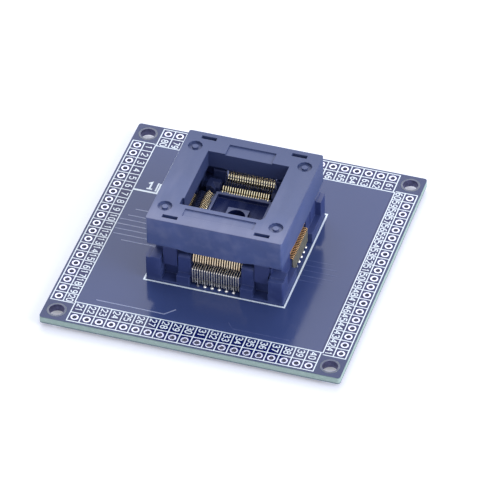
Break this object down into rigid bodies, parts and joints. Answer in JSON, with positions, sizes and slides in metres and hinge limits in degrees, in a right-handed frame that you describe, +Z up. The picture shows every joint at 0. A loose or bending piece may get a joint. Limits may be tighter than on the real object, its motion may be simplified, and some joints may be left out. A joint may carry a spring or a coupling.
{
  "type": "ic programming adapter",
  "caption": "Square breakout board with an open-top test socket for a quad flat package, a sprung push-down cover that opens the contacts, and rows of header holes round the edge.",
  "frame": {"origin": "below the centre of the board, in the plane of the solder tails' ends", "axes": "+Z up out of the board, +X along the front row from hole 21 to hole 40, +Y to the back"},
  "size_m": [0.062, 0.062, 0.0184],
  "materials": {
    "board_laminate": "glossy dark blue solder mask over glass laminate",
    "socket_plastic": "fine matte moulded plastic",
    "contact_gold": "gold plated copper alloy",
    "spring_steel": "bright drawn wire"
  },
  "bodies": {
    "adapter": {"circuit_board": "board_laminate", "socket_base": "socket_plastic", "chip_seat": "socket_plastic", "cover_spring_front_left": "spring_steel", "cover_spring_front_right": "spring_steel", "cover_spring_back_right": "spring_steel", "cover_spring_back_left": "spring_steel", "contact_tails_front_outer": "contact_gold", "contact_tails_front_middle": "contact_gold", "contact_tails_front_inner": "contact_gold", "contact_tails_right_outer": "contact_gold", "contact_tails_right_middle": "contact_gold", "contact_tails_right_inner": "contact_gold", "contact_tails_back_outer": "contact_gold", "contact_tails_back_middle": "contact_gold", "contact_tails_back_inner": "contact_gold", "contact_tails_left_outer": "contact_gold", "contact_tails_left_middle": "contact_gold", "contact_tails_left_inner": "contact_gold"},
    "cover": {"socket_cover": "socket_plastic"},
    "arms_front": {"contact_arms_front": "contact_gold"},
    "arms_right": {"contact_arms_right": "contact_gold"},
    "arms_back": {"contact_arms_back": "contact_gold"},
    "arms_left": {"contact_arms_left": "contact_gold"}
  },
  "joints": [
    {"name": "cover_slide", "type": "slide", "parent": "adapter", "child": "cover", "axis": [0, 0, -1], "range_m": [0, 0.003], "stiffness_N_per_m": 1500, "springref_m": -0.001, "deforming": ["cover_spring_front_left", "cover_spring_front_right", "cover_spring_back_right", "cover_spring_back_left"]},
    {"name": "arms_front_turn", "type": "hinge", "parent": "adapter", "child": "arms_front", "pos_m": [0, -0.0106, 0.00835], "axis": [1, 0, 0], "range_deg": [0, 12]},
    {"name": "arms_right_turn", "type": "hinge", "parent": "adapter", "child": "arms_right", "pos_m": [0.0106, 0, 0.00835], "axis": [0, 1, 0], "range_deg": [0, 12]},
    {"name": "arms_back_turn", "type": "hinge", "parent": "adapter", "child": "arms_back", "pos_m": [0, 0.0106, 0.00835], "axis": [-1, 0, 0], "range_deg": [0, 12]},
    {"name": "arms_left_turn", "type": "hinge", "parent": "adapter", "child": "arms_left", "pos_m": [-0.0106, 0, 0.00835], "axis": [0, -1, 0], "range_deg": [0, 12]}
  ],
  "couplings": [
    {"joint": "arms_front_turn", "follows": "cover_slide", "rad_per_m": 69.813},
    {"joint": "arms_right_turn", "follows": "cover_slide", "rad_per_m": 69.813},
    {"joint": "arms_back_turn", "follows": "cover_slide", "rad_per_m": 69.813},
    {"joint": "arms_left_turn", "follows": "cover_slide", "rad_per_m": 69.813}
  ]
}
